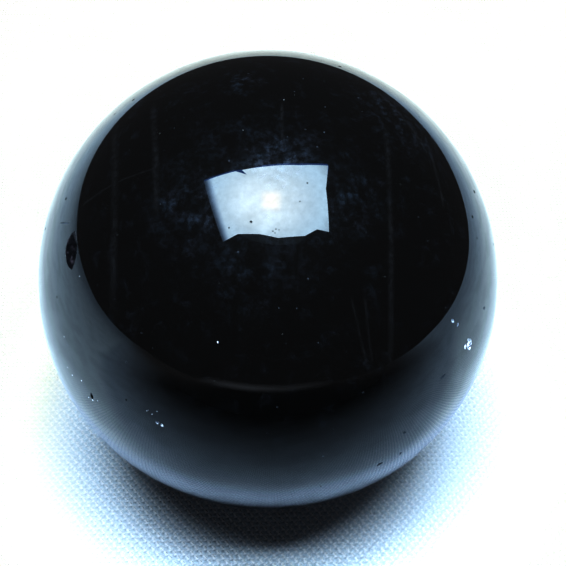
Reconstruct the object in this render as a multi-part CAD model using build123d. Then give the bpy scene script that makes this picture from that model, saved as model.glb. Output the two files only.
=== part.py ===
from build123d import *
import os
from collections import namedtuple
from math import hypot, sqrt

# A polished ball of near-black smoky quartz, cut and ground from one solid piece of stone.
# Millimetres, +Z up, origin at the centre of the ball, front towards -Y.
#
# Quartz breaks like glass, so where the polished skin has chipped it is scooped out in hollow shells.
# Each chip is a pointed leaf, seen from above: its two walls meet in a keel that runs from tip to tip,
# and one wall is often long and gentle where the other is short and steep.
#
# A chip's place is an angle on the ball, in degrees. Longitude runs from the front towards +X, and
# latitude up from the equator. Its heading is the way the leaf points, clockwise from straight up.

# The ball
ball_diameter = 50.0
seam_longitude = 180.0    # where the surface closes on itself, at the back and clear of every mark

# The large flake lost from the left shoulder
flake_longitude = -66.0
flake_latitude = 34.0
flake_heading = -45.0
flake_length = 3.9
flake_left_wall = 1.25    # how wide each wall is, from the keel to the polished skin
flake_right_wall = 0.75
flake_depth = 0.36

# The small chips
Chip = namedtuple("Chip", "longitude latitude heading length left_wall right_wall depth")
small_chips = [
    # the bright one on the right cheek, and the splinter that broke off beside it
    Chip(longitude=56, latitude=13, heading=-4, length=1.6, left_wall=0.35, right_wall=0.6, depth=0.2),
    Chip(longitude=54.5, latitude=13.8, heading=20, length=0.7, left_wall=0.2, right_wall=0.2, depth=0.1),
    # a pair of nicks above it
    Chip(longitude=52.2, latitude=23.4, heading=-18, length=0.6, left_wall=0.2, right_wall=0.15, depth=0.08),
    Chip(longitude=53.4, latitude=21.3, heading=50, length=0.45, left_wall=0.15, right_wall=0.15, depth=0.06),
    # a lone nick to its right, and a slit below it
    Chip(longitude=66, latitude=15.7, heading=-30, length=0.55, left_wall=0.2, right_wall=0.15, depth=0.08),
    Chip(longitude=45.2, latitude=11.9, heading=80, length=0.9, left_wall=0.12, right_wall=0.12, depth=0.08),
    # three nicks low on the right
    Chip(longitude=33, latitude=2, heading=-35, length=0.5, left_wall=0.15, right_wall=0.2, depth=0.07),
    Chip(longitude=33, latitude=-7, heading=12, length=0.6, left_wall=0.15, right_wall=0.15, depth=0.07),
    Chip(longitude=27.3, latitude=-7.2, heading=65, length=0.8, left_wall=0.25, right_wall=0.15, depth=0.1),
    # the deep one low on the left
    Chip(longitude=-44.6, latitude=6, heading=-7, length=1.0, left_wall=0.18, right_wall=0.24, depth=0.2),
]

ball_radius = ball_diameter / 2


def tip_height(chip):
    # how far the line through both tips lies from the ball's centre
    return sqrt(ball_radius**2 - (chip.length / 2)**2)


def chip_cutter(chip):
    # Stands on top of the ball with its keel along Y: a lens, round about the X axis. Its sharp rim
    # passes through both tips and the keel's lowest point, and each face through its wall's far edge.
    half_length = chip.length / 2
    keel_radius = (half_length**2 + chip.depth**2) / (2 * chip.depth)
    rim = (0, keel_radius)
    faces, crowns = [], []
    for wall, side in ((chip.left_wall, -1), (chip.right_wall, 1)):
        centre_offset = (half_length**2 - wall**2) / (2 * wall)
        crown = (side * (hypot(keel_radius, centre_offset) - centre_offset), 0)
        faces.append(TangentArc(crown, rim, tangent=(0, 1)))
        crowns.append(crown)
    lens = revolve(make_face(faces + [Line(crowns)]), Axis.X)
    return Pos(0, 0, tip_height(chip) + keel_radius - chip.depth) * lens


def in_place(chip, cutter):
    # turns the cutter about the ball's centre, from the top to the chip's own place
    pointed = Rot(0, 0, -chip.heading) * cutter
    return Rot(0, 0, chip.longitude) * Rot(90 - chip.latitude, 0, 0) * pointed


def quartz_ball():
    shoulder_flake = Chip(flake_longitude, flake_latitude, flake_heading, flake_length,
                          flake_left_wall, flake_right_wall, flake_depth)
    chips = [shoulder_flake] + small_chips
    ball = Rot(0, 0, seam_longitude - 90) * Sphere(ball_radius)
    return ball - [in_place(chip, chip_cutter(chip)) for chip in chips]


os.makedirs("parts", exist_ok=True)
export_step(quartz_ball(), "parts/quartz_ball.step")
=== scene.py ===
from collections import namedtuple
from math import cos, hypot, pi, radians, sin, sqrt

import bpy
import numpy as np
from mathutils import Matrix, Vector, noise


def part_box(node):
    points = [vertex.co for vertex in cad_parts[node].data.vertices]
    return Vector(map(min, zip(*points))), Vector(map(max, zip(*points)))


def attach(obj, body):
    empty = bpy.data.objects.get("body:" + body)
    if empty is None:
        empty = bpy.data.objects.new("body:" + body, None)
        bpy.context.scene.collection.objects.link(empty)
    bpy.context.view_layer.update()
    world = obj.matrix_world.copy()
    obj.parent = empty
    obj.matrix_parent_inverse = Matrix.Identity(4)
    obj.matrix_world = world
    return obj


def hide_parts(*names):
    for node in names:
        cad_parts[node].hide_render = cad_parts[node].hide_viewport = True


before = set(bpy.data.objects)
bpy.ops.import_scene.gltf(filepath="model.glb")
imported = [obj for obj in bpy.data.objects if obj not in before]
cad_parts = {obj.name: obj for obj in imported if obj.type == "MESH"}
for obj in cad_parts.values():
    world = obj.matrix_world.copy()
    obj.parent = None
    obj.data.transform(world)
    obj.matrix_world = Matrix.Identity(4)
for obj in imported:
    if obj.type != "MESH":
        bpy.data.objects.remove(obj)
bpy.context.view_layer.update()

# A polished ball of near-black smoky quartz on a white woven cloth, lit from above by one soft panel.
# Metres, +Z up, front towards -Y. In the dictionaries below lengths are in millimetres, colours are red,
# green and blue, and a noise is how often it repeats in a metre, its detail and its roughness.
mm = 0.001
ballLow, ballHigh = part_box("quartz_ball")
ballCentre = (ballLow + ballHigh) / 2
ballRadius = (ballHigh.z - ballLow.z) / 2
clothHeight = ballLow.z
print("frame loaded, ball radius", round(ballRadius / mm, 3), "mm")


def facing(longitude, latitude):
    # the outward direction at a place on the ball; longitude runs from the front towards +X
    lon, lat = radians(longitude), radians(latitude)
    return Vector((sin(lon) * cos(lat), -cos(lon) * cos(lat), sin(lat)))


def addObject(name, data):
    piece = bpy.data.objects.new(name, data)
    bpy.context.scene.collection.objects.link(piece)
    return piece


def meshFrom(name, points, faces):
    mesh = bpy.data.meshes.new(name)
    mesh.from_pydata([tuple(p) for p in points], [], faces)
    return mesh


def plug(tree, value, socket):
    # links a socket, or sets a plain value
    if isinstance(value, bpy.types.NodeSocket):
        tree.links.new(value, socket)
    elif socket.type == "RGBA":
        socket.default_value = (*value, 1)
    else:
        socket.default_value = value


def addNode(tree, kind, sockets=None, **settings):
    node = tree.nodes.new(kind)
    for name, value in settings.items():
        setattr(node, name, value)
    for name, value in (sockets or {}).items():
        plug(tree, value, node.inputs[name])
    return node


def calc(tree, operation, *values):
    node = addNode(tree, "ShaderNodeMath", operation=operation)
    for value, socket in zip(values, node.inputs):
        plug(tree, value, socket)
    return node.outputs[0]


def vectorCalc(tree, operation, *values):
    node = addNode(tree, "ShaderNodeVectorMath", operation=operation)
    for value, socket in zip(values, node.inputs):
        plug(tree, value, socket)
    return node.outputs["Value" if operation in ("DOT_PRODUCT", "DISTANCE", "LENGTH") else "Vector"]


def fadeBetween(tree, value, start, end, low=0.0, high=1.0):
    # low where value is at start, high where it is at end, and smooth between them
    return addNode(tree, "ShaderNodeMapRange", {
        "Value": value, "From Min": start, "From Max": end, "To Min": low, "To Max": high},
        interpolation_type="SMOOTHSTEP").outputs[0]


def mixColours(tree, share, first, second, blend="MIX"):
    # the colour sockets share their names with others, so they go by number
    node = addNode(tree, "ShaderNodeMix", data_type="RGBA", blend_type=blend)
    for index, value in ((0, share), (6, first), (7, second)):
        plug(tree, value, node.inputs[index])
    return node.outputs[2]


def noiseAt(tree, position, perMetre, detail, roughness=0.5):
    return addNode(tree, "ShaderNodeTexNoise", {
        "Vector": position, "Scale": perMetre, "Detail": detail, "Roughness": roughness}).outputs[0]


def inverse(tree, value):
    return calc(tree, "DIVIDE", 1.0, value)


def product(tree, *values):
    result = values[0]
    for value in values[1:]:
        result = calc(tree, "MULTIPLY", result, value)
    return result


def newGroup(name, inputs, outputs):
    # a shader node group and its input sockets; an input is a number, or a vector if its value is None
    group = bpy.data.node_groups.new(name, "ShaderNodeTree")
    for label, value in inputs.items():
        kind = "NodeSocketVector" if value is None else "NodeSocketFloat"
        socket = group.interface.new_socket(label, in_out="INPUT", socket_type=kind)
        if value is not None:
            socket.default_value = value
    for label in outputs:
        group.interface.new_socket(label, in_out="OUTPUT", socket_type="NodeSocketFloat")
    return group, group.nodes.new("NodeGroupInput").outputs


def closeGroup(group, results):
    end = group.nodes.new("NodeGroupOutput")
    for name, value in results.items():
        group.links.new(value, end.inputs[name])
    return group


def place(tree, group, **sockets):
    # puts a node group into a material; underscores in the names stand for spaces
    node = addNode(tree, "ShaderNodeGroup", node_tree=group)
    for name, value in sockets.items():
        plug(tree, value, node.inputs[name.replace("_", " ")])
    return node


def newMaterial(name):
    material = bpy.data.materials.new(name)
    material.use_nodes = True
    material.node_tree.nodes.clear()
    return material, material.node_tree


def objectPosition(tree):
    return addNode(tree, "ShaderNodeTexCoord").outputs["Object"]


def closeMaterial(material, surface):
    addNode(material.node_tree, "ShaderNodeOutputMaterial", {"Surface": surface.outputs[0]})
    return material


def glowing(tree, colour, strength=1.0):
    return addNode(tree, "ShaderNodeEmission", {"Color": colour, "Strength": strength})


def layFlat(name, outline, height, material):
    # a flat sheet, its outline in mm and its height in metres
    mesh = meshFrom(name, [(x * mm, y * mm, height) for x, y in outline], [list(range(len(outline)))])
    mesh.materials.append(material)
    return addObject(name, mesh)


def turnFace(sheet, up):
    if (sheet.data.polygons[0].normal.z > 0) != up:
        sheet.data.flip_normals()


def showOnlyMirrored(piece):
    piece.visible_camera = False
    piece.visible_diffuse = False
    piece.visible_shadow = False
    piece.visible_transmission = False


def softPatch(tree, position, middle, reach, square=False):
    # 1 in the middle of a patch on a flat sheet, and close to 0 past its reach; both in mm
    away = vectorCalc(tree, "SUBTRACT", position, Vector((*middle, 0)) * mm)
    away = vectorCalc(tree, "MULTIPLY", away, Vector((1 / reach[0], 1 / reach[1], 0)) / mm)
    if square:
        away = vectorCalc(tree, "MULTIPLY", away, away)
    return calc(tree, "EXPONENT", product(tree, vectorCalc(tree, "DOT_PRODUCT", away, away), -1.0))


def fromFoot(tree, position):
    # how far a place on the cloth lies from where the ball touches it, in mm
    return product(tree, vectorCalc(tree, "DISTANCE", position, Vector((0, 0, clothHeight))), 1 / mm)


camera = {
    "lens": 81.35,
    "sensor": 36,
    "place": (1.62, -93.04, 106.03),    # from the ball's centre
    "tiltDown": 48.9,
    "clip": (5, 20000),
    "gamma": 0.67,                      # deepens the shadows
}


def addCamera():
    data = bpy.data.cameras.new("camera")
    data.lens = camera["lens"]
    data.sensor_width = camera["sensor"]
    data.clip_start, data.clip_end = (distance * mm for distance in camera["clip"])
    piece = addObject("camera", data)
    piece.location = ballCentre + Vector(camera["place"]) * mm
    piece.rotation_euler = (radians(90 - camera["tiltDown"]), 0, 0)
    bpy.context.scene.camera = piece


addCamera()
bpy.context.scene.view_settings.view_transform = "Standard"
bpy.context.scene.view_settings.gamma = camera["gamma"]
print("camera set")


panel = {
    "height": 650,                  # above the ball's centre
    "outline": [                    # from the back left corner, clockwise seen from above
        (-329, 106), (-161, 123), (-152, 123), (-98, 95), (-122, 126), (-16, 138), (158, 164), (312, 209),
        (304, 52), (329, -65), (361, -204), (280, -199), (213, -247), (61, -268), (-43, -245), (-159, -240),
        (-255, -283),
    ],
    "evenGlow": 14.4,
    "glowPatches": {                # middle, reach, how much brighter, square or not
        "wide": ((0, -55), (150, 130), 4.4, False),
        "hot": ((20, -57), (48, 52), 3.4, True),
        "left": ((-105, -20), (85, 85), 1.9, False),
        "frontRight": ((75, -160), (80, 50), 2.2, False),
        "frontLeft": ((-125, -90), (60, 60), 2.0, False),
        "front": ((-10, -190), (50, 60), 3.0, False),
        "back": ((-30, 130), (45, 25), 2.0, False),
    },
    "mottles": (26.0, 6.0, 0.65),
    "mottling": 0.26,               # how strong they are
    "hotTint": (0.99, 1.0, 0.97),
    "middleTint": (0.84, 1.0, 1.10),
    "edgeTint": (0.73, 1.0, 1.22),
    "tintReach": (60, 340),
    "farCorners": (300, 420, 0.62), # where the glow starts to fall, where it has fallen, and to what share
    "leftEdge": (-255, -283, 0.982, 0.186),     # a point on it and the way across it
    "leftFade": 58,
    "leftDimmest": 0.12,
    "leftTint": (0.58, 0.90, 1.35),
    "rim": [
        (-331, 104), (-325, 115), (-161, 132), (-100, 127), (-16, 148), (158, 175), (310, 220), (318, 205),
        (300, 60), (-300, 60),
    ],
    "rimColour": (0.40, 1.1, 3.4),
    "rimLift": 2,                   # above the panel, which hides all but its border
    # a dim glowing strip below the panel, a painted reflection of a sill, seen only in the polish
    "sill": [
        (-165, -238), (-43, -243), (61, -266), (213, -245), (190, -292), (172, -302), (80, -314), (-11, -306),
        (-90, -282),
    ],
    "sillColour": (0.28, 0.36, 0.43),
    "sillLift": 3,
    "lampShare": 0.83,              # the lamp's size, of the panel's; it lights the cloth and broken stone
    "lampColour": (0.79, 1.0, 1.21),
    "lampGlow": 32.0,
    "lampLift": 4,
}


def panelMaterial():
    material, tree = newMaterial("panelGlow")
    position = objectPosition(tree)
    glow = panel["evenGlow"]
    for middle, reach, extra, square in panel["glowPatches"].values():
        glow = calc(tree, "MULTIPLY_ADD", softPatch(tree, position, middle, reach, square), extra, glow)
    mottles = noiseAt(tree, position, *panel["mottles"])
    mottles = calc(tree, "MULTIPLY_ADD", mottles, 2 * panel["mottling"], 1 - panel["mottling"])
    middle = panel["glowPatches"]["wide"][0]
    away = vectorCalc(tree, "DISTANCE", position, Vector((*middle, panel["height"])) * mm)
    start, end, share = panel["farCorners"]
    glow = product(tree, glow, mottles, fadeBetween(tree, away, start * mm, end * mm, 1.0, share))
    start, end = panel["tintReach"]
    outwards = fadeBetween(tree, away, start * mm, end * mm)
    tint = mixColours(tree, outwards, panel["middleTint"], panel["edgeTint"])
    middle, reach = panel["glowPatches"]["hot"][:2]
    tint = mixColours(tree, softPatch(tree, position, middle, reach, square=True), tint, panel["hotTint"])
    edgeX, edgeY, acrossX, acrossY = panel["leftEdge"]
    across = vectorCalc(tree, "DOT_PRODUCT", position, (acrossX, acrossY, 0))
    fromEdge = calc(tree, "SUBTRACT", across, (edgeX * acrossX + edgeY * acrossY) * mm)
    risen = fadeBetween(tree, fromEdge, 0.0, panel["leftFade"] * mm)
    tint = mixColours(tree, risen, panel["leftTint"], tint)
    dimmest = panel["leftDimmest"]
    glow = product(tree, glow, calc(tree, "MULTIPLY_ADD", risen, 1 - dimmest, dimmest))
    return closeMaterial(material, glowing(tree, tint, glow))


def plainGlow(name, colour, strength=1.0):
    material, tree = newMaterial(name)
    return closeMaterial(material, glowing(tree, colour, strength))


def addPanel():
    # the panel, its dim blue rim and glowing grey sill just behind it, and the even lamp for all that isn't
    # polished
    height = ballCentre.z + panel["height"] * mm
    smaller = [(x * panel["lampShare"], y * panel["lampShare"]) for x, y in panel["outline"]]
    lampMaterial = plainGlow("lampGlow", panel["lampColour"], panel["lampGlow"])
    sheets = [layFlat(name, outline, height + lift * mm, material) for name, outline, lift, material in (
        ("lightPanel", panel["outline"], 0, panelMaterial()),
        ("lightRim", panel["rim"], panel["rimLift"], plainGlow("rimGlow", panel["rimColour"])),
        ("lightSill", panel["sill"], panel["sillLift"], plainGlow("sillGlow", panel["sillColour"])),
        ("lightLamp", smaller, panel["lampLift"], lampMaterial))]
    for sheet in sheets:
        isLamp = sheet is sheets[-1]
        turnFace(sheet, up=False)
        sheet.visible_camera = False
        sheet.visible_shadow = False
        sheet.visible_diffuse = isLamp
        sheet.visible_glossy = not isLamp
    return sheets


# A graded card of painted shadow that lies on the cloth and shows only in the ball's polish. It is a clear,
# faintly blue sheet behind and near the ball, turns dark in front, and bends away to the front at both sides.
darkCard = {
    "lift": 0.3,                    # above the cloth
    "nearEdge": 24,
    "depth": 88,
    "grading": 2.0,
    "leftLean": 0.24,               # how fast it draws back to each side
    "rightLean": 0.0,
    "outerLean": (110, 0.1),        # from this far out, and how fast
    "leftBend": (100, 0.43),
    "rightBend": (120, 0.60),
    "leftSoftness": (95, 200, 0.6), # where it grows softer, and by how much
    # painted tints on the cloth's reflection: dim overall, lighter close under and beside the ball
    "clearTint": (0.655, 0.685, 0.72),
    "underTint": (0.94, 0.99, 1.10),    # close under the ball
    "underReach": (25, 35),
    "besideTint": (0.96, 0.98, 0.96),   # beside and behind it, before the grading starts
    "besideLeft": (90, 420),
    "besideRight": (60, 150),
    "besideFront": (22, 8),
    # painted shade of folds, in blotches on the cloth's reflection
    "paintedFolds": (90.0, 4.0),
    "paintedFoldsShow": (0.35, 0.6),
    "paintedFoldShade": 0.12,
    # painted reflection: where covered, the card glows grey further out to the sides
    "paintedFarGlow": (0.22, 0.22, 0.23),
    "darkestWidth": (60, 260),      # black in the middle and the colour above further out
}

room = {
    "seen": (0.82, 0.86, 0.90),     # the backdrop
    "mirrored": (0.09, 0.09, 0.095),
    "fill": (0.074, 0.078, 0.090),
}


def cardForward(tree, across, forward):
    # how far in front of the ball a place on the card counts as, once the card's lean and bend are taken off
    leanEnds, outerLean = darkCard["outerLean"]
    for sign, lean in ((-1, darkCard["leftLean"]), (1, darkCard["rightLean"])):
        side = calc(tree, "MAXIMUM", product(tree, across, sign), 0.0)
        near = calc(tree, "MINIMUM", side, leanEnds)
        forward = calc(tree, "MULTIPLY_ADD", side, -outerLean, forward)
        forward = calc(tree, "MULTIPLY_ADD", near, outerLean - lean, forward)
    for sign, (start, rate) in ((-1, darkCard["leftBend"]), (1, darkCard["rightBend"])):
        beyond = calc(tree, "MAXIMUM", calc(tree, "MULTIPLY_ADD", across, sign, -start), 0.0)
        forward = calc(tree, "MULTIPLY_ADD", beyond, -rate, forward)
    return forward


# painted tints of the cloth's reflection, by where it lies around the ball
def cardTint(tree, position, across, forward):
    beside = fadeBetween(tree, forward, *darkCard["besideFront"])
    for sign, (start, end) in ((-1, darkCard["besideLeft"]), (1, darkCard["besideRight"])):
        beside = product(tree, beside, fadeBetween(tree, across, sign * start, sign * end, 1.0, 0.0))
    tint = mixColours(tree, beside, darkCard["clearTint"], darkCard["besideTint"])
    outwards = fadeBetween(tree, fromFoot(tree, position), *darkCard["underReach"])
    return mixColours(tree, outwards, darkCard["underTint"], tint)


def paintedShadowCardMaterial():
    material, tree = newMaterial("paintedShadowCardShader")
    position = objectPosition(tree)
    axes = addNode(tree, "ShaderNodeSeparateXYZ", {"Vector": position}).outputs
    across = product(tree, axes["X"], 1 / mm)
    forward = cardForward(tree, across, product(tree, axes["Y"], -1 / mm))
    start, end, extra = darkCard["leftSoftness"]
    depth = fadeBetween(tree, across, -start, -end, darkCard["depth"], darkCard["depth"] * (1 + extra))
    # painted shadow: the cloth's reflection grows dark from the near edge forward
    covered = calc(tree, "DIVIDE", calc(tree, "SUBTRACT", forward, darkCard["nearEdge"]), depth)
    covered = addNode(tree, "ShaderNodeClamp", {"Value": covered}).outputs[0]
    clear = calc(tree, "POWER", calc(tree, "SUBTRACT", 1.0, covered), darkCard["grading"])
    # painted shade of folds, in blotches on the cloth's reflection
    paintedFolds = noiseAt(tree, position, *darkCard["paintedFolds"])
    paintedFolds = fadeBetween(tree, paintedFolds, *darkCard["paintedFoldsShow"], 1 - darkCard["paintedFoldShade"], 1.0)
    clear = product(tree, clear, paintedFolds)
    # painted reflection: a grey glow further out, black in the middle
    outwards = fadeBetween(tree, calc(tree, "ABSOLUTE", across), *darkCard["darkestWidth"])
    dark = glowing(tree, darkCard["paintedFarGlow"], outwards)
    tint = cardTint(tree, position, across, forward)
    through = addNode(tree, "ShaderNodeBsdfTransparent", {"Color": tint})
    card = addNode(tree, "ShaderNodeMixShader", {"Fac": clear})
    tree.links.new(dark.outputs[0], card.inputs[1])
    tree.links.new(through.outputs[0], card.inputs[2])
    return closeMaterial(material, card)


def addPaintedShadowCard():
    piece = layFlat("darkCard", cloth["outline"], clothHeight + darkCard["lift"] * mm, paintedShadowCardMaterial())
    showOnlyMirrored(piece)
    return piece


# A glowing strip, a painted reflection of a lit table edge, curving through the lower part of the polish
frontEdge = {
    "distance": -300,
    "line": [                       # across, above the ball's centre, and its share of the glow
        (-172, -10.9, 0.0), (-130, -7, 0.5), (-93, -6.7, 0.9), (-59, -6.8, 1.0), (-30, -7.6, 1.0),
        (2, -8.3, 0.8), (33, -10.8, 0.6), (71, -10.9, 0.5), (118, -15.7, 0.25), (158, -22, 0.0),
    ],
    "halfHeight": 13,
    "glow": (0.70, 0.78, 0.90),
}


def edgeMaterial():
    material, tree = newMaterial("edgeGlow")
    share = addNode(tree, "ShaderNodeAttribute", attribute_name="share").outputs["Fac"]
    light = glowing(tree, mixColours(tree, share, (0, 0, 0), frontEdge["glow"]))
    through = addNode(tree, "ShaderNodeBsdfTransparent")
    both = addNode(tree, "ShaderNodeAddShader")
    tree.links.new(light.outputs[0], both.inputs[0])
    tree.links.new(through.outputs[0], both.inputs[1])
    return closeMaterial(material, both)


def addPaintedEdgeReflection():
    # a strip of two rows of faces, bright along its middle
    points, faces, shares = [], [], []
    for x, z, share in frontEdge["line"]:
        for step in (-1, 0, 1):
            point = Vector((x, frontEdge["distance"], z + step * frontEdge["halfHeight"]))
            points.append(point * mm + ballCentre)
            shares.append(share if step == 0 else 0.0)
    for i in range(len(frontEdge["line"]) - 1):
        faces += [[3 * i + k, 3 * i + k + 3, 3 * i + k + 4, 3 * i + k + 1] for k in (0, 1)]
    mesh = meshFrom("frontEdge", points, faces)
    mesh.attributes.new("share", "FLOAT", "POINT").data.foreach_set("value", shares)
    mesh.materials.append(edgeMaterial())
    piece = addObject("frontEdge", mesh)
    showOnlyMirrored(piece)
    return piece


def addRoom():
    world = bpy.data.worlds.new("room")
    world.use_nodes = True
    tree = world.node_tree
    tree.nodes.clear()
    rays = addNode(tree, "ShaderNodeLightPath").outputs
    colour = mixColours(tree, rays["Is Glossy Ray"], room["fill"], room["mirrored"])
    colour = mixColours(tree, rays["Is Camera Ray"], colour, room["seen"])
    background = addNode(tree, "ShaderNodeBackground", {"Color": colour, "Strength": 1.0})
    addNode(tree, "ShaderNodeOutputWorld", {"Surface": background.outputs[0]})
    bpy.context.scene.world = world


lightPieces = addPanel()
paintedEdgeReflectionPiece = addPaintedEdgeReflection()
addRoom()
print("light set")


cloth = {
    "outline": [
        (186, -420), (186, -60), (168, 0), (159, 50), (163, 130), (150, 190), (138, 236), (80, 255), (0, 262),
        (-100, 245), (-190, 232), (-330, 215), (-400, 185), (-490, 75), (-510, 20), (-490, -60), (-500, -200),
        (-560, -420),
    ],
    "warpPitch": 0.498,             # threads that run to and fro
    "weftPitch": 0.604,             # threads that run from side to side
    "warpRoundness": 1.4,           # higher makes a thread narrower on top
    "weftRoundness": 1.0,
    "turned": -1.1,                 # of the weave, in degrees
    "slant": -0.22,                 # how far the warp threads twist as they pass over
    "wander": 350.0,                # how often in a metre the threads stray from their lines
    "unevenness": 0.4,              # and by how much of a pitch
    "fibres": (3200.0, 2.0),
    "fibreHeight": 0.25,            # of a thread's
    "threadRelief": 0.16,
    "warpWhite": (0.99, 1.0, 1.0),
    # painted shade: the weft and the gaps between threads are greyer and bluer than the white warp
    "weftShaded": (0.62, 0.70, 0.76),
    "gapShade": (0.66, 0.73, 0.78),
    "gapShadeHeight": 0.25,              # up to here, of a thread's height
    "slubs": (3600.0, 3.0, 0.6),
    "slubsShow": (0.3, 0.7),
    "slubShade": 0.34,              # how much darker the fibres run in places
    "roughness": 0.9,
    "sheen": 0.1,
    # painted warm tint behind the ball, seen only in its polish and in bounced light
    "warmPatch": ((0, 150), (80, 130)),
    "warm": (1.20, 1.0, 0.80),
    "even": (0.675, 0.725, 0.75),   # its colour where bright light washes the weave out
    "evenFrom": (21, 31, 0.88),     # from this far out, to here, and how much
    "evenPatch": ((26, -8), (13, 18), 0.62),
    # painted shade near the ball's shadow and painted light far out, for the camera only
    "glare": [                      # rolls off the highlights: from this far out, to here, by how much
        (22, 30, (0.95, 0.77, 0.57)), (29, 38, (0.72, 0.69, 0.71)), (45, 90, (1.08, 1.05, 1.05)),
        (110, 500, (2.6, 2.2, 2.0)),
    ],
}

table = {
    "size": 1600,                   # from the middle to each edge
    "drop": 1.0,                    # below the cloth
    "white": (0.80, 0.83, 0.86),
    "grain": (40.0, 3.0),
    "grainShade": 0.96,
    "roughness": 0.6,
    "sheen": 0.2,
    "sweep": (250, 1300, 0.7),      # where a light of its own starts, where it is full, and how strong
}


def plainWeave():
    # threads that pass over and under in turn: how high they stand, and which of the two is on top
    group, given = newGroup("plainWeave", {
        "Position": None, "Warp Pitch": 0.0005, "Weft Pitch": 0.0006, "Warp Roundness": 1.4,
        "Weft Roundness": 1.0, "Wander": 350.0, "Unevenness": 0.4, "Slant": 0.0}, ["Height", "Warp On Top"])
    wander = addNode(group, "ShaderNodeTexNoise", {
        "Vector": given["Position"], "Scale": given["Wander"], "Detail": 2.0}).outputs["Color"]
    drift = vectorCalc(group, "SUBTRACT", wander, (0.5, 0.5, 0.5))
    axes = addNode(group, "ShaderNodeSeparateXYZ", {"Vector": given["Position"]}).outputs
    drifts = addNode(group, "ShaderNodeSeparateXYZ", {"Vector": drift}).outputs
    steps = []
    for axis, pitch in (("X", "Warp Pitch"), ("Y", "Weft Pitch")):
        stray = product(group, drifts[axis], given["Unevenness"])
        steps.append(calc(group, "ADD", calc(group, "DIVIDE", axes[axis], given[pitch]), stray))
    warpStep, weftStep = steps
    twist = product(group, calc(group, "SINE", product(group, weftStep, 2 * pi)), given["Slant"])
    threads = []
    for across, along, sign, roundness, lean in (
            (warpStep, weftStep, 1, given["Warp Roundness"], twist),
            (weftStep, warpStep, -1, given["Weft Roundness"], 0.0)):
        phase = product(group, calc(group, "ADD", across, lean), pi)
        bulge = calc(group, "POWER", calc(group, "ABSOLUTE", calc(group, "SINE", phase)), roundness)
        turn = calc(group, "ADD", calc(group, "SUBTRACT", along, 0.5), calc(group, "FLOOR", across))
        over = calc(group, "MULTIPLY_ADD", calc(group, "COSINE", product(group, turn, pi)), 0.5 * sign, 0.5)
        threads.append(product(group, bulge, over))
    onTop = fadeBetween(group, calc(group, "SUBTRACT", *threads), -1.0, 1.0)
    return closeGroup(group, {"Height": calc(group, "MAXIMUM", *threads), "Warp On Top": onTop})


def threadColour(tree, weave, turned):
    # painted shade on the weft and in the gaps between the threads
    colour = mixColours(tree, weave["Warp On Top"], cloth["weftShaded"], cloth["warpWhite"])
    risen = fadeBetween(tree, weave["Height"], 0.0, cloth["gapShadeHeight"])
    colour = mixColours(tree, risen, cloth["gapShade"], colour)
    slubs = noiseAt(tree, turned, *cloth["slubs"])
    shade = fadeBetween(tree, slubs, *cloth["slubsShow"], 1 - cloth["slubShade"], 1.0)
    return mixColours(tree, 1.0, colour, shade, "MULTIPLY")


def toneCloth(tree, position, colour):
    # evens out and rolls off what is looked at directly, and warms what the ball and the room get from it
    away = fromFoot(tree, position)
    seen = addNode(tree, "ShaderNodeLightPath").outputs["Is Camera Ray"]
    start, end, most = cloth["evenFrom"]
    middle, reach, share = cloth["evenPatch"]
    # painted light: for the camera the weave is evened out from this far out, and in a patch beside the ball
    washedOut = calc(tree, "MAXIMUM", fadeBetween(tree, away, start, end, 0.0, most),
                   product(tree, softPatch(tree, position, middle, reach), share))
    colour = mixColours(tree, product(tree, washedOut, seen), colour, cloth["even"])
    # painted warm reflection, left out of what the camera sees directly
    warmth = softPatch(tree, position, *cloth["warmPatch"], square=True)
    warmth = product(tree, warmth, calc(tree, "SUBTRACT", 1.0, seen))
    colour = mixColours(tree, warmth, colour, cloth["warm"], "MULTIPLY")
    for start, end, tint in cloth["glare"]:
        share = product(tree, fadeBetween(tree, away, start, end), seen)
        colour = mixColours(tree, share, colour, tint, "MULTIPLY")
    return colour


def clothMaterial():
    material, tree = newMaterial("whiteCotton")
    position = objectPosition(tree)
    turned = addNode(tree, "ShaderNodeMapping", {
        "Vector": position, "Rotation": (0, 0, radians(cloth["turned"]))}).outputs[0]
    weave = place(tree, plainWeave(), Position=turned,
                  Warp_Pitch=cloth["warpPitch"] * mm, Weft_Pitch=cloth["weftPitch"] * mm,
                  Warp_Roundness=cloth["warpRoundness"], Weft_Roundness=cloth["weftRoundness"],
                  Wander=cloth["wander"], Unevenness=cloth["unevenness"], Slant=cloth["slant"]).outputs
    fibres = noiseAt(tree, turned, *cloth["fibres"])
    height = calc(tree, "MULTIPLY_ADD", fibres, cloth["fibreHeight"], weave["Height"])
    relief = addNode(tree, "ShaderNodeBump", {
        "Strength": 1.0, "Distance": cloth["threadRelief"] * mm, "Height": height})
    surface = addNode(tree, "ShaderNodeBsdfPrincipled", {
        "Base Color": toneCloth(tree, position, threadColour(tree, weave, turned)),
        "Roughness": cloth["roughness"], "Specular IOR Level": cloth["sheen"], "Normal": relief.outputs[0]})
    return closeMaterial(material, surface)


def tableMaterial():
    material, tree = newMaterial("paleTop")
    position = objectPosition(tree)
    shaded = tuple(table["grainShade"] * share for share in table["white"])
    colour = mixColours(tree, noiseAt(tree, position, *table["grain"]), shaded, table["white"])
    start, end, most = table["sweep"]
    away = product(tree, vectorCalc(tree, "LENGTH", position), 1 / mm)
    surface = addNode(tree, "ShaderNodeBsdfPrincipled", {
        "Base Color": colour, "Roughness": table["roughness"], "Specular IOR Level": table["sheen"],
        "Emission Color": colour, "Emission Strength": fadeBetween(tree, away, start, end, 0.0, most)})
    return closeMaterial(material, surface)


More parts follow.
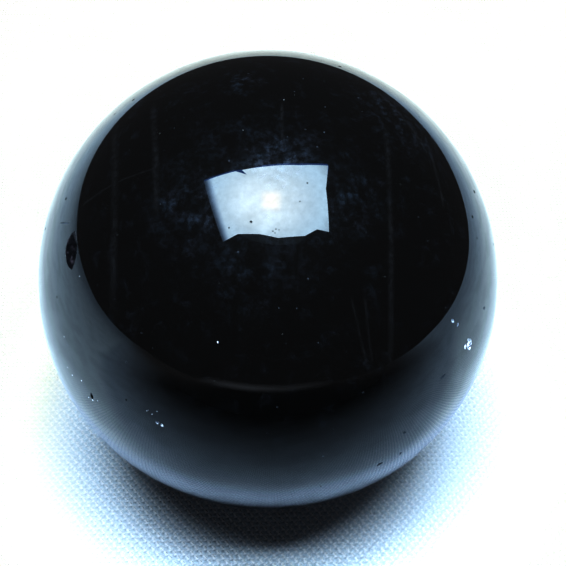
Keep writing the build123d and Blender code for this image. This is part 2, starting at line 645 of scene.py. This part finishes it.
def addTable():
    # a plain pale top under the cloth; the polish of the ball doesn't show it
    size = table["size"]
    corners = [(-size, -size), (size, -size), (size, size), (-size, size)]
    piece = layFlat("table", corners, clothHeight - table["drop"] * mm, tableMaterial())
    piece.visible_glossy = False
    return piece


clothPiece = layFlat("cloth", cloth["outline"], clothHeight, clothMaterial())
turnFace(clothPiece, up=True)
tablePiece = addTable()
cardPiece = addPaintedShadowCard()
print("cloth laid")


ball = {
    "smoothness": 7,                # how often the skin's triangles are halved
    "lensSegments": 60,             # across each half of a chip
    "beadSmoothness": 3,
    "beadLift": 0.75,               # a pit's bead is centred this many of its radii outside the skin,
    "beadCut": 1.32,                # which makes the pit this many radii wide
    "strayPits": 0.009,             # for each square millimetre
    "strayWidth": (0.10, 0.22),
    "straySmoothness": 5,           # of the skin that they are scattered on
    "seed": 3,
    "breakSeed": 8,                 # of the ragged breaks
}

# How a break strays from a clean hollow; heights are shares of the chip's own ragged value
breakage = {
    "swells": 1.3,                  # how often in a millimetre
    "steps": 4.0,
    "stepHeight": 0.4,
    "rippleStart": 0.4,             # to the right of the chip's lower tip
    "rippleLength": 0.42,
    "rippleWay": (0.3, 0, 1),
    "rippleHeight": 0.12,
}

# Each chip is a pointed leaf with two hollow walls that meet in a keel, dark and glassy unless they have
# other finishes. ragged is how far the break strays from a clean hollow.
chipOf = namedtuple("chip", "longitude latitude heading length leftWall rightWall depth finishes ragged")
chips = [chipOf(*row) for row in (
    (-66, 34, -45, 3.9, 1.25, 0.75, 0.36, ("shell", "shell"), 0.06),        # the large flake
    (56, 13, -4, 1.6, 0.35, 0.6, 0.2, ("bruised", "crushed"), 0.03),
    (54.5, 13.8, 20, 0.7, 0.2, 0.2, 0.1, ("dusty", "crushed"), 0),
    (52.2, 23.4, -18, 0.6, 0.2, 0.15, 0.08, ("crushed", "bruised"), 0),
    (53.4, 21.3, 50, 0.45, 0.15, 0.15, 0.06, ("bruised", "bruised"), 0),
    (66, 15.7, -30, 0.55, 0.2, 0.15, 0.08, ("dusty", "dusty"), 0),
    (45.2, 11.9, 80, 0.9, 0.12, 0.12, 0.08, ("dusty", "dusty"), 0),
    (33, 2, -35, 0.5, 0.15, 0.2, 0.07, ("dusty", "dusty"), 0),
    (33, -7, 12, 0.6, 0.15, 0.15, 0.07, ("dusty", "dusty"), 0),
    (27.3, -7.2, 65, 0.8, 0.25, 0.15, 0.1, ("dusty", "dusty"), 0),
    (-44.6, 6, -7, 1.0, 0.18, 0.24, 0.2, (), 0),
    (-76.2, 34.35, 43.6, 2.6, 0.06, 0.06, 0.05, ("dusty", "dusty"), 0),     # a long, fine scratch
)]

# Round pits in the polish: longitude, latitude, width
darkPits = [
    (-118, 51.6, 0.40), (-86.8, 22.2, 0.34), (91.4, 31.6, 0.42), (80.1, 33.1, 0.36), (85.1, 18.4, 0.30),
    (-84.5, 35.6, 0.34), (143.7, 59.7, 0.36), (-112.7, 47.1, 0.30), (157, 70.6, 0.25), (24.4, 68.0, 0.17),
    (17.2, 64.5, 0.13), (-6.1, 60.7, 0.25), (-14.8, 58.8, 0.15), (5.6, 59.0, 0.11), (3.1, 58.8, 0.13),
    (4.4, 59.2, 0.12), (3.9, 58.4, 0.12), (75.8, 29.6, 0.24),
]

# Flecks of white, crushed stone where the polish has bruised
paleFlecks = [
    (-58.3, 31.8, 0.11), (-44.3, 4.6, 0.20), (-45.8, 4.4, 0.19), (-42.5, 5.9, 0.18), (-56.7, 14.9, 0.11),
    (-54.9, 13.9, 0.12), (-54.4, 6.8, 0.10), (-52.2, 6.2, 0.12), (-48.3, 7.9, 0.14), (-25.2, 10.35, 0.40),
    (-24.0, 10.0, 0.37), (-28, 12.5, 0.10), (-27.6, 12.9, 0.09), (-26.6, 12.2, 0.10), (-25.4, 13.6, 0.09),
    (-12.2, 34.6, 0.20),
]

# Every face of the ball carries a wall number: 0 on the skin, these in pits and flecks, 1 or more in chips
pitWall, fleckWall = -1, -2


def wallNumber(chipIndex, wallIndex):
    return 2 * chipIndex + wallIndex + 1


def turnedTo(chip):
    # turns something that stands on top of the ball to the chip's own place, about the ball's centre
    return (Matrix.Rotation(radians(chip.longitude), 4, "Z")
            @ Matrix.Rotation(radians(90 - chip.latitude), 4, "X")
            @ Matrix.Rotation(radians(-chip.heading), 4, "Z"))


def wallsOf(chip):
    # the two spheres that a chip's walls are part of: side, how far out the middle lies, radius
    halfLength = chip.length / 2
    keelRadius = (halfLength**2 + chip.depth**2) / (2 * chip.depth)
    walls = []
    for side, width in ((-1, chip.leftWall), (1, chip.rightWall)):
        offset = (halfLength**2 - width**2) / (2 * width)
        walls.append((side, offset, hypot(keelRadius, offset)))
    tipHeight = sqrt((ballRadius / mm)**2 - halfLength**2)
    return walls, keelRadius, tipHeight + keelRadius - chip.depth


def broken(chip, x, y, z):
    # ripples that spread from one tip, as in glass, and coarser steps across them
    point = Vector((x, y, z))
    if chip.ragged:
        away = hypot(x - breakage["rippleStart"], y + chip.length / 2)
        ripple = sin(2 * pi * away / breakage["rippleLength"])
        point += (noise.noise_vector(point * breakage["swells"]) * chip.ragged
                  + Vector(breakage["rippleWay"]) * ripple * chip.ragged * breakage["rippleHeight"])
        point += noise.noise_vector(point * breakage["steps"]) * chip.ragged * breakage["stepHeight"]
    return point


def chipLens(chip, chipIndex, points, faces, wallNumbers):
    # a lens about its own X axis, finest near its lowest point, where it cuts the ball
    walls, keelRadius, height = wallsOf(chip)
    turn = turnedTo(chip)
    count = ball["lensSegments"]
    around = 2 * count
    angles = [pi * (step / count) * abs(step / count) for step in range(-count, count)]

    def addRing(x, reach, ringAngles=angles):
        # adds a ring of points about the lens's axis; returns the number of its first
        for a in ringAngles:
            points.append(turn @ (broken(chip, x, reach * sin(a), height - reach * cos(a)) * mm))
        return len(points) - len(ringAngles)

    rim = addRing(0, keelRadius)
    for wallIndex, (side, offset, radius) in enumerate(walls):
        opening = np.arctan2(keelRadius, offset)
        outer = rim
        for ring in range(1, count // 2):
            tilt = opening * (1 - (2 * ring / count)**2)
            inner = addRing(side * (radius * cos(tilt) - offset), radius * sin(tilt))
            for i in range(around):
                j = (i + 1) % around
                faces.append([outer + i, outer + j, inner + j, inner + i][::side])
            outer = inner
        crown = addRing(side * (radius - offset), 0, [0])
        faces += [[outer + i, outer + (i + 1) % around, crown][::side] for i in range(around)]
        wallNumbers += [wallNumber(chipIndex, wallIndex)] * (len(faces) - len(wallNumbers))


def addLenses():
    noise.seed_set(ball["breakSeed"])
    points, faces, wallNumbers = [], [], []
    for chipIndex, chip in enumerate(chips):
        chipLens(chip, chipIndex, points, faces, wallNumbers)
    mesh = meshFrom("chipLenses", points, faces)
    mesh.attributes.new("wall", "INT", "FACE").data.foreach_set("value", wallNumbers)
    return addObject("chipLenses", mesh)


def beadRadius(width):
    return width * mm / ball["beadCut"]


def addMarks(name, marks):
    # one point for each pit, with the radius of the bead that presses it
    mesh = meshFrom(name, [facing(lon, lat) * ballRadius for lon, lat, width in marks], [])
    radii = [beadRadius(width) for lon, lat, width in marks]
    mesh.attributes.new("radius", "FLOAT", "POINT").data.foreach_set("value", radii)
    return addObject(name, mesh)


def beadsAt(tree, marks, radius, wall):
    # a bead on each mark, lifted along the ball's radius, so that only a shallow cap cuts in
    outward = vectorCalc(tree, "NORMALIZE", addNode(tree, "GeometryNodeInputPosition").outputs[0])
    lift = addNode(tree, "ShaderNodeVectorMath", {
        "Vector": outward, "Scale": product(tree, radius, ball["beadLift"])}, operation="SCALE").outputs[0]
    raised = addNode(tree, "GeometryNodeSetPosition", {"Geometry": marks, "Offset": lift})
    bead = addNode(tree, "GeometryNodeMeshIcoSphere", {"Radius": 1.0, "Subdivisions": ball["beadSmoothness"]})
    numbered = addNode(tree, "GeometryNodeStoreNamedAttribute", {
        "Geometry": bead.outputs[0], "Name": "wall", "Value": wall}, data_type="INT", domain="FACE")
    beads = addNode(tree, "GeometryNodeInstanceOnPoints", {
        "Points": raised.outputs[0], "Instance": numbered.outputs[0], "Scale": radius})
    return addNode(tree, "GeometryNodeRealizeInstances", {"Geometry": beads.outputs[0]}).outputs[0]


def polishedBallTree():
    # the skin, less the chips, the listed pits and flecks, and stray pits by chance
    tree = bpy.data.node_groups.new("polishedBall", "GeometryNodeTree")
    tree.interface.new_socket("Geometry", in_out="OUTPUT", socket_type="NodeSocketGeometry")
    for kind, names in (
            ("Float", ("Ball Radius", "Stray Pits", "Least Radius", "Most Radius")),
            ("Int", ("Smoothness", "Stray Smoothness", "Seed")),
            ("Object", ("Chip Lenses", "Dark Pits", "Pale Flecks")), ("Material", ("Stone",))):
        for name in names:
            tree.interface.new_socket(name, in_out="INPUT", socket_type="NodeSocket" + kind)
    given = tree.nodes.new("NodeGroupInput").outputs

    def sphere(smoothness):
        return addNode(tree, "GeometryNodeMeshIcoSphere", {
            "Radius": given["Ball Radius"], "Subdivisions": given[smoothness]}).outputs[0]

    def shapeOf(name):
        info = addNode(tree, "GeometryNodeObjectInfo", {"Object": given[name]}, transform_space="ORIGINAL")
        return info.outputs["Geometry"]

    strays = addNode(tree, "GeometryNodeDistributePointsOnFaces", {
        "Mesh": sphere("Stray Smoothness"), "Density": given["Stray Pits"], "Seed": given["Seed"]})
    strayRadius = addNode(tree, "FunctionNodeRandomValue", data_type="FLOAT")
    for index, name in ((2, "Least Radius"), (3, "Most Radius"), (8, "Seed")):
        plug(tree, given[name], strayRadius.inputs[index])
    own = addNode(tree, "GeometryNodeInputNamedAttribute", {"Name": "radius"}, data_type="FLOAT").outputs
    cutters = [shapeOf("Chip Lenses"),
               beadsAt(tree, shapeOf("Dark Pits"), own["Attribute"], pitWall),
               beadsAt(tree, shapeOf("Pale Flecks"), own["Attribute"], fleckWall),
               beadsAt(tree, strays.outputs["Points"], strayRadius.outputs[1], pitWall)]
    cut = addNode(tree, "GeometryNodeMeshBoolean", {
        "Mesh 1": sphere("Smoothness")}, operation="DIFFERENCE", solver="MANIFOLD")
    for cutter in cutters:
        tree.links.new(cutter, cut.inputs["Mesh 2"])
    whole = addNode(tree, "GeometryNodeRealizeInstances", {"Geometry": cut.outputs[0]})
    finished = addNode(tree, "GeometryNodeSetMaterial", {
        "Geometry": whole.outputs[0], "Material": given["Stone"]})
    tree.links.new(finished.outputs[0], tree.nodes.new("NodeGroupOutput").inputs[0])
    return tree


def growthLine():
    # where a healed crack or growth plane inside the stone meets the skin
    group, given = newGroup("growthLine", {
        "Position": None, "Facing": None, "Offset": 0.0, "Thickness": 0.0003, "Middle": None,
        "Reach": 0.01, "Waviness": 0.0003, "Breaks": 0.4}, ["Trace"])
    position = given["Position"]
    bend = noiseAt(group, position, *stone["lineBend"])
    sway = product(group, calc(group, "SUBTRACT", bend, 0.5), given["Waviness"])
    height = vectorCalc(group, "DOT_PRODUCT", position, given["Facing"])
    away = calc(group, "ABSOLUTE", calc(group, "ADD", calc(group, "SUBTRACT", height, given["Offset"]), sway))
    line = fadeBetween(group, away, given["Thickness"], 0.0)
    away = vectorCalc(group, "DISTANCE", position, given["Middle"])
    ends = fadeBetween(group, away, given["Reach"], product(group, given["Reach"], stone["lineEnds"]))
    patches = noiseAt(group, position, *stone["linePatches"])
    patches = fadeBetween(group, patches, calc(group, "SUBTRACT", given["Breaks"], 0.2), 0.8)
    grain = fadeBetween(group, noiseAt(group, position, *stone["lineGrain"]), *stone["lineGrainShow"])
    return closeGroup(group, {"Trace": product(group, line, ends, product(group, patches, grain))})


def cloudyVeil():
    # a cloud of fine inclusions, thickest at its middle
    group, given = newGroup("cloudyVeil", {
        "Position": None, "Middle": None, "Reach": 0.015, "Clump Size": 0.004, "Clearness": 0.45,
        "Grain": 0.00045}, ["Density"])
    position = given["Position"]
    grain = noiseAt(group, position, inverse(group, given["Grain"]), 2.0)
    clumps = noiseAt(group, position, inverse(group, given["Clump Size"]), *stone["veilClumps"])
    wisps = product(group, fadeBetween(group, clumps, given["Clearness"], stone["veilFull"]),
                    fadeBetween(group, grain, *stone["veilGrainShow"]))
    body = fadeBetween(group, vectorCalc(group, "DISTANCE", position, given["Middle"]), given["Reach"], 0.0)
    return closeGroup(group, {"Density": product(group, wisps, body)})


def fineSpecks():
    # single bright grains, some in every few cells, each with its own size and brightness
    group, given = newGroup("fineSpecks", {
        "Position": None, "Spacing": 0.001, "Size": 0.1, "Share": 0.3}, ["Dots"])
    cells = addNode(group, "ShaderNodeTexVoronoi", {
        "Vector": given["Position"], "Scale": inverse(group, given["Spacing"])}).outputs
    luck = addNode(group, "ShaderNodeSeparateColor", {"Color": cells["Color"]}).outputs
    size = product(group, given["Size"], luck["Green"])
    dot = fadeBetween(group, cells["Distance"], size, product(group, size, stone["speckCore"]))
    kept = calc(group, "LESS_THAN", luck["Red"], given["Share"])
    return closeGroup(group, {"Dots": product(group, dot, kept, luck["Blue"])})


stone = {
    "black": (0.0034, 0.0030, 0.0028),
    "veil": (0.022, 0.031, 0.042),
    "violetVeil": (0.027, 0.029, 0.038),
    "violetPatches": (500.0, 3.0),
    "violetShow": (0.3, 0.75),      # where a noise starts to show, and where it shows in full
    "veilClumps": (7.0, 0.62),
    "veilFull": 0.74,
    "veilGrain": 0.45,
    "veilGrainShow": (0.32, 0.68, 0.2, 1.0),    # from here, to here, and how strong it is at each
    "line": (0.014, 0.0135, 0.014),
    "lineBreaks": 0.4,
    "lineWaviness": 0.3,
    "lineBend": (140.0, 3.0),
    "lineEnds": 0.6,                # the share of its reach from which a line fades
    "linePatches": (180.0, 6.0, 0.7),
    "lineGrain": (2200.0, 2.0),
    "lineGrainShow": (0.35, 0.65, 0.35, 1.0),
    "speck": (0.20, 0.23, 0.27),
    "speckSpacing": 0.9,
    "speckSize": 0.15,              # of their spacing
    "speckShare": 0.4,              # of the cells that hold one
    "speckCore": 0.4,               # the share of its size that is bright in full
    "speckStrength": 0.25,
    "refraction": 1.544,
    "polish": 0.012,
    "scuffed": 0.05,                # the polish in places where the stone is cloudy
    "scuffs": (900.0, 5.0, 0.6),
    "scuffsShow": (0.58, 0.75),
    "haze": (0.02, 0.05),           # on clear stone, and how much more on cloudy stone
    "hazeRoughness": 0.35,
}

# What all broken stone shares, and then each kind: darkest and lightest colour, size of the grain and relief
# in mm, where the light part starts and ends, and gloss
brokenStone = {"grain": (4.0, 0.65), "bump": 0.8, "roughness": 0.28}
bruise = {"dark": (0.03, 0.045, 0.08), "grain": 0.26, "relief": 0.03, "gloss": 0.4}
finishes = {
    "crushed": {**bruise, "light": (0.95, 0.96, 1.0), "part": (0.45, 0.54)},
    "bruised": {**bruise, "light": (0.36, 0.39, 0.46), "part": (0.38, 0.58)},
    "dusty": {"dark": (0.008, 0.012, 0.017), "light": (0.05, 0.062, 0.08), "grain": 0.16, "relief": 0.03,
              "part": (0.35, 0.6), "gloss": 0.15},
    "shell": {"dark": (0.003, 0.003, 0.004), "light": (0.065, 0.052, 0.060), "grain": 0.9, "relief": 0.01,
              "part": (0.50, 0.76), "gloss": 0.3},
}

# Cloudy places: middle, reach, size of the clumps, how clear it is between them, and strength
veils = [
    ((-1, -9, 22), 13, 1.8, 0.42, 0.35),
    ((-7.5, -10, 21.3), 5.5, 1.5, 0.38, 0.65),
    ((-1, -16, 19), 6, 1.6, 0.42, 0.4),
    ((1.0, -6.6, 24.0), 5, 1.3, 0.32, 1.2),
    ((8, -9, 21.5), 5, 1.2, 0.42, 0.6),
    ((14, 4, 20.5), 9, 0.9, 0.46, 0.7),
    ((-2.4, 4.6, 24.5), 3.0, 0.8, 0.46, 0.7),
    ((0, 0, 0), 60, 1.5, 0.52, 0.35),
]

# Growth planes and healed cracks: the way the plane faces and how far it lies from the centre, its middle on
# the skin, reach and thickness. Both ways are a longitude and a latitude.
growthLines = [
    ((-85.5, 6.1), 16.95, (-61.8, 48.9), 12, 0.55),
    ((-85.1, 3.1), 12.06, (-73.1, 63.6), 8, 0.45),
    ((90.7, -0.7), 11.31, (45.2, 48.8), 14, 0.42),
    ((97.9, 10.6), 8.48, (24.8, 33.4), 4.2, 0.22),
    ((91.9, 6.5), 10.42, (27.3, 33.8), 4.0, 0.22),
    ((-8.5, 6.5), 9.38, (-70.6, 52.0), 6, 0.16),
    ((89.3, 16.8), 8.69, (32.3, 83.4), 3.4, 0.25),
    ((102.7, -12), 11.59, (81.4, 47.4), 4, 0.3),
    ((-42.1, 43.7), 5.96, (102.3, 55.6), 5, 0.3),
]


def allVeils(tree, position):
    group, cloud = cloudyVeil(), 0.0
    for middle, reach, clump, clearness, strength in veils:
        density = place(tree, group, Position=position, Middle=Vector(middle) * mm, Reach=reach * mm,
                        Clump_Size=clump * mm, Clearness=clearness, Grain=stone["veilGrain"] * mm).outputs[0]
        cloud = calc(tree, "MULTIPLY_ADD", density, strength, cloud)
    return calc(tree, "MINIMUM", cloud, 1.0)


def allGrowthLines(tree, position):
    group, lines = growthLine(), 0.0
    for way, offset, middle, reach, thickness in growthLines:
        trace = place(tree, group, Position=position, Facing=facing(*way), Offset=offset * mm,
                      Thickness=thickness * mm, Middle=facing(*middle) * ballRadius, Reach=reach * mm,
                      Waviness=stone["lineWaviness"] * mm, Breaks=stone["lineBreaks"]).outputs[0]
        lines = calc(tree, "MAXIMUM", trace, lines)
    return lines


def smokyQuartz():
    material, tree = newMaterial("smokyQuartz")
    position = objectPosition(tree)
    cloud = allVeils(tree, position)
    patches = fadeBetween(tree, noiseAt(tree, position, *stone["violetPatches"]), *stone["violetShow"])
    veil = mixColours(tree, patches, stone["veil"], stone["violetVeil"])
    colour = mixColours(tree, cloud, stone["black"], veil)
    colour = mixColours(tree, allGrowthLines(tree, position), colour, stone["line"])
    dots = place(tree, fineSpecks(), Position=position, Spacing=stone["speckSpacing"] * mm,
                 Size=stone["speckSize"], Share=stone["speckShare"]).outputs[0]
    colour = mixColours(tree, product(tree, dots, stone["speckStrength"]), colour, stone["speck"])
    scuffs = noiseAt(tree, position, *stone["scuffs"])
    scuffed = product(tree, fadeBetween(tree, scuffs, *stone["scuffsShow"]), cloud)
    clearHaze, cloudyHaze = stone["haze"]
    surface = addNode(tree, "ShaderNodeBsdfPrincipled", {
        "Base Color": colour,
        "Roughness": calc(tree, "MULTIPLY_ADD", scuffed, stone["scuffed"] - stone["polish"], stone["polish"]),
        "IOR": stone["refraction"],
        "Coat Weight": calc(tree, "MULTIPLY_ADD", cloud, cloudyHaze, clearHaze),
        "Coat Roughness": stone["hazeRoughness"]})
    return closeMaterial(material, surface)


def brokenQuartz(name):
    finish = finishes[name]
    material, tree = newMaterial(name + "Quartz")
    grain = noiseAt(tree, objectPosition(tree), 1 / (finish["grain"] * mm), *brokenStone["grain"])
    relief = addNode(tree, "ShaderNodeBump", {
        "Strength": brokenStone["bump"], "Distance": finish["relief"] * mm, "Height": grain})
    colour = mixColours(tree, fadeBetween(tree, grain, *finish["part"]), finish["dark"], finish["light"])
    surface = addNode(tree, "ShaderNodeBsdfPrincipled", {
        "Base Color": colour, "Roughness": brokenStone["roughness"], "IOR": stone["refraction"],
        "Specular IOR Level": finish["gloss"], "Normal": relief.outputs[0]})
    return closeMaterial(material, surface)


def plainMesh(piece, name):
    # the modifier's result as an ordinary mesh on the same object
    evaluated = piece.evaluated_get(bpy.context.evaluated_depsgraph_get())
    mesh = bpy.data.meshes.new_from_object(evaluated)
    mesh.name = name
    piece.modifiers.clear()
    piece.data = mesh
    return mesh


def readAll(items, name, kind, width=1):
    # one value, or one row of values, for each item
    values = np.zeros(len(items) * width, kind)
    items.foreach_get(name, values)
    return values if width == 1 else values.reshape(-1, width)


def truePolish(mesh, walls):
    # Every corner gets the exact direction of its own surface: the ball's, or that of the wall it is in.
    # A flat triangle would otherwise show in a mirror as smooth as this one.
    points = readAll(mesh.vertices, "co", float, 3)
    cornerVertex = readAll(mesh.loops, "vertex_index", np.int32)
    cornerFace = np.repeat(np.arange(len(mesh.polygons)), readAll(mesh.polygons, "loop_total", np.int32))
    cornerWall = walls[cornerFace]
    normals = points[cornerVertex] - np.array(ballCentre)
    rough = [pitWall, fleckWall]
    for chipIndex, chip in enumerate(chips):
        spheres, _, height = wallsOf(chip)
        turn = turnedTo(chip)
        for wallIndex, (side, offset, _) in enumerate(spheres):
            wall = wallNumber(chipIndex, wallIndex)
            middle = np.array(turn @ (Vector((-side * offset, 0, height)) * mm))
            normals[cornerWall == wall] = middle - points[cornerVertex[cornerWall == wall]]
            if chip.ragged:
                rough.append(wall)
    # where no formula gives it, the direction is that of the faces around the corner, the larger the more
    pull = readAll(mesh.polygons, "normal", float, 3) * readAll(mesh.polygons, "area", float)[:, None]
    for wall in rough:
        mine = cornerWall == wall
        sums = np.zeros_like(points)
        np.add.at(sums, cornerVertex[mine], pull[cornerFace[mine]])
        normals[mine] = sums[cornerVertex[mine]]
    lengths = np.linalg.norm(normals, axis=1)
    normals[lengths > 0] /= lengths[lengths > 0, None]
    mesh.polygons.foreach_set("use_smooth", [True] * len(mesh.polygons))
    mesh.normals_split_custom_set([tuple(n) for n in normals])


def giveFinishes(mesh, walls, stoneMaterial):
    # the polished stone, then the broken ones; flecks are crushed, and pits and plain chips stay glassy
    mesh.materials.clear()
    mesh.materials.append(stoneMaterial)
    for name in finishes:
        mesh.materials.append(brokenQuartz(name))
    slotOf = {name: 1 + index for index, name in enumerate(finishes)}
    slots = np.zeros(len(walls), np.int32)
    slots[walls == fleckWall] = slotOf["crushed"]
    for chipIndex, chip in enumerate(chips):
        for wallIndex, finish in enumerate(chip.finishes):
            slots[walls == wallNumber(chipIndex, wallIndex)] = slotOf[finish]
    mesh.polygons.foreach_set("material_index", slots)


def addBall():
    piece = addObject("polishedBall", bpy.data.meshes.new("polishedBall"))
    lenses, pits, flecks = addLenses(), addMarks("darkPits", darkPits), addMarks("paleFlecks", paleFlecks)
    stoneMaterial = smokyQuartz()
    leastRadius, mostRadius = (beadRadius(width) for width in ball["strayWidth"])
    settings = {
        "Ball Radius": ballRadius, "Smoothness": ball["smoothness"], "Chip Lenses": lenses,
        "Dark Pits": pits, "Pale Flecks": flecks, "Stray Pits": ball["strayPits"] / mm**2,
        "Stray Smoothness": ball["straySmoothness"], "Least Radius": leastRadius,
        "Most Radius": mostRadius, "Seed": ball["seed"], "Stone": stoneMaterial,
    }
    cutting = piece.modifiers.new("polishedBall", "NODES")
    cutting.node_group = polishedBallTree()
    for socket in cutting.node_group.interface.items_tree:
        if socket.item_type == "SOCKET" and socket.in_out == "INPUT":
            cutting[socket.identifier] = settings[socket.name]
    mesh = plainMesh(piece, "polishedBall")
    for helper in (lenses, pits, flecks):
        bpy.data.objects.remove(helper)
    walls = readAll(mesh.attributes["wall"].data, "value", np.int32)
    giveFinishes(mesh, walls, stoneMaterial)
    truePolish(mesh, walls)
    print("ball faces", len(mesh.polygons))
    return piece


polishedBall = addBall()
print("ball cut and polished")


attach(polishedBall, "root")
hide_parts("quartz_ball")
